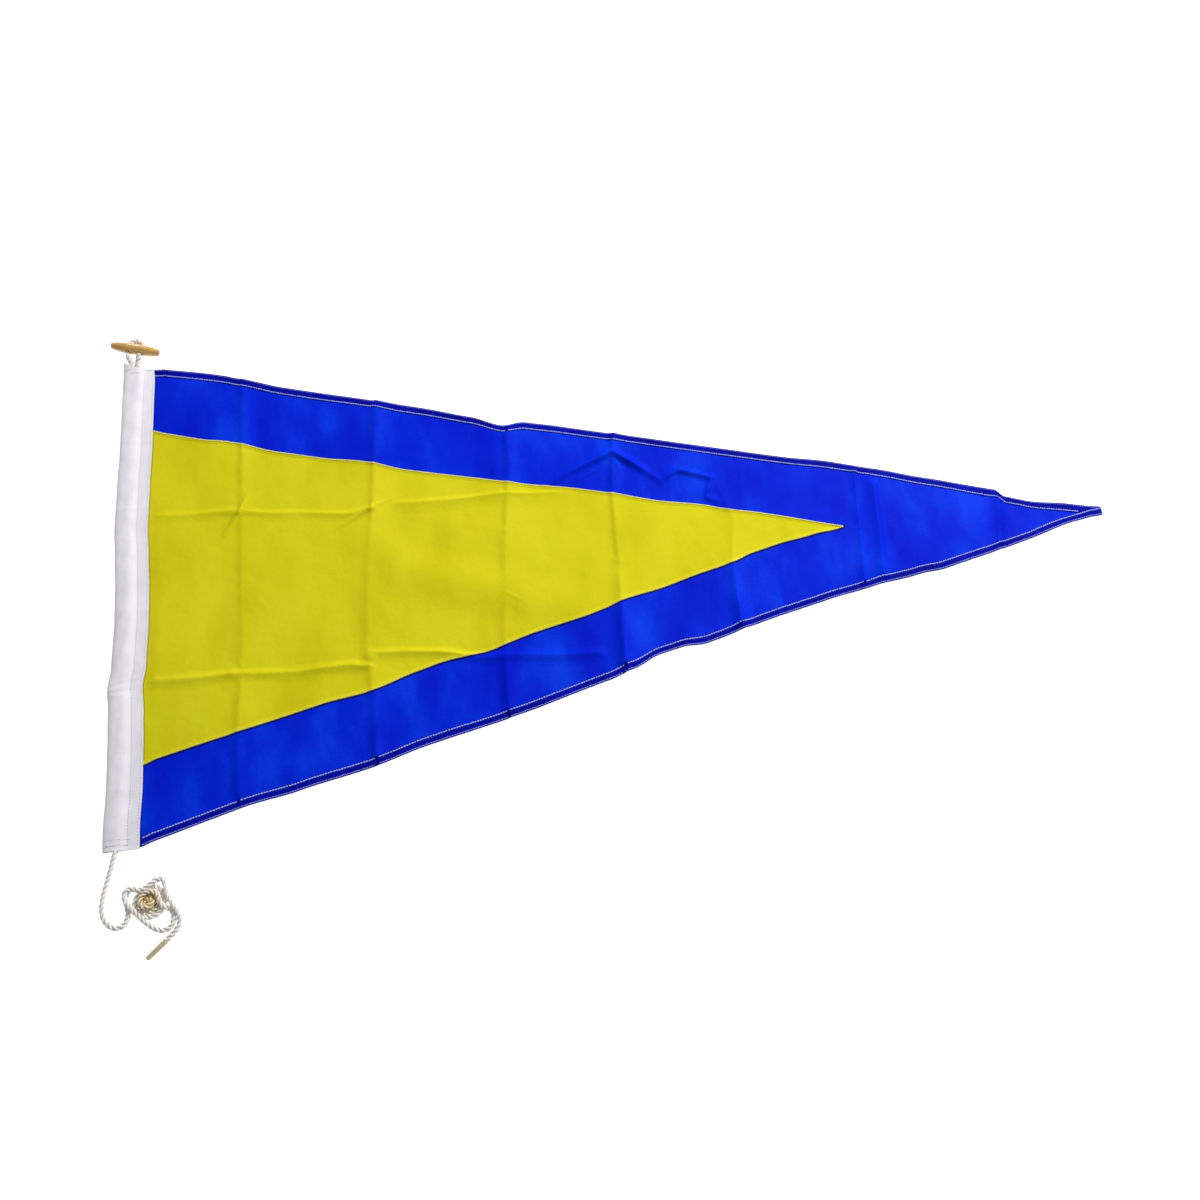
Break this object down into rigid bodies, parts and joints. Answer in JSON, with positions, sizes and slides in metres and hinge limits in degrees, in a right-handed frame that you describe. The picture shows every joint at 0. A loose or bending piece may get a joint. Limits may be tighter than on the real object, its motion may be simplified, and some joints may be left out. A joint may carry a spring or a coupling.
{
  "type": "signal pennant",
  "caption": "Triangular signal pennant, blue with a yellow triangle, on a canvas heading with a rope, a two-hole wooden toggle and a rope tail.",
  "frame": {"origin": "underside of the canvas heading at mid-hoist and mid-width, on the surface that the flag lies on", "axes": "+X along the fly towards the tip, +Y up the hoist towards the toggle, +Z away from the surface"},
  "size_m": [1.2399, 0.7628, 0.014],
  "materials": {
    "yellow_bunting": "thin plain-woven polyester bunting with a soft sheen",
    "blue_bunting": "thin plain-woven polyester bunting with a soft sheen",
    "blue_hem": "the same bunting in three layers, darker",
    "canvas": "matt white heading canvas",
    "rope": "three-strand laid rope, off-white",
    "turned_wood": "turned hardwood, golden brown, waxed",
    "white_thread": "white sewing thread",
    "yellow_thread": "yellow sewing thread",
    "whipping_twine": "tan waxed twine wound on the rope end"
  },
  "bodies": {
    "heading": {"heading_band": "canvas", "hoist_rope": "rope", "becket_return_end": "rope", "yellow_hoist_tab": "yellow_bunting", "blue_hoist_tabs": "blue_bunting", "sleeve_thread": "white_thread", "hoist_edge_thread": "white_thread", "head_bar_tack": "white_thread", "foot_bar_tack": "white_thread", "tail_rope_lead": "rope", "tail_rope_coil": "rope", "tail_rope_loop": "rope", "tail_rope_end": "rope", "tail_whipping": "whipping_twine"},
    "becket": {"becket_strands": "rope"},
    "toggle": {"toggle": "turned_wood", "becket_bight": "rope"},
    "fly": {"yellow_panel": "yellow_bunting", "blue_border": "blue_bunting", "upper_hem": "blue_hem", "lower_hem": "blue_hem", "upper_seam": "yellow_bunting", "lower_seam": "yellow_bunting", "upper_hem_thread": "white_thread", "lower_hem_thread": "white_thread", "upper_seam_thread": "yellow_thread", "lower_seam_thread": "yellow_thread"}
  },
  "joints": [
    {"name": "becket_fold", "type": "hinge", "parent": "heading", "child": "becket", "pos_m": [-0.003, 0.3048, 0.00315], "axis": [1, 0, 0], "range_deg": [-75, 75], "deforming": ["becket_strands"]},
    {"name": "toggle_tilt", "type": "hinge", "parent": "becket", "child": "toggle", "pos_m": [-0.00325, 0.329, 0.007], "axis": [0, 0, 1], "range_deg": [-20, 50], "deforming": ["becket_strands"]},
    {"name": "fly_swing", "type": "hinge", "parent": "heading", "child": "fly", "pos_m": [0.02025, 0, 0.0002], "axis": [0, -1, 0], "range_deg": [-120, 120]}
  ]
}
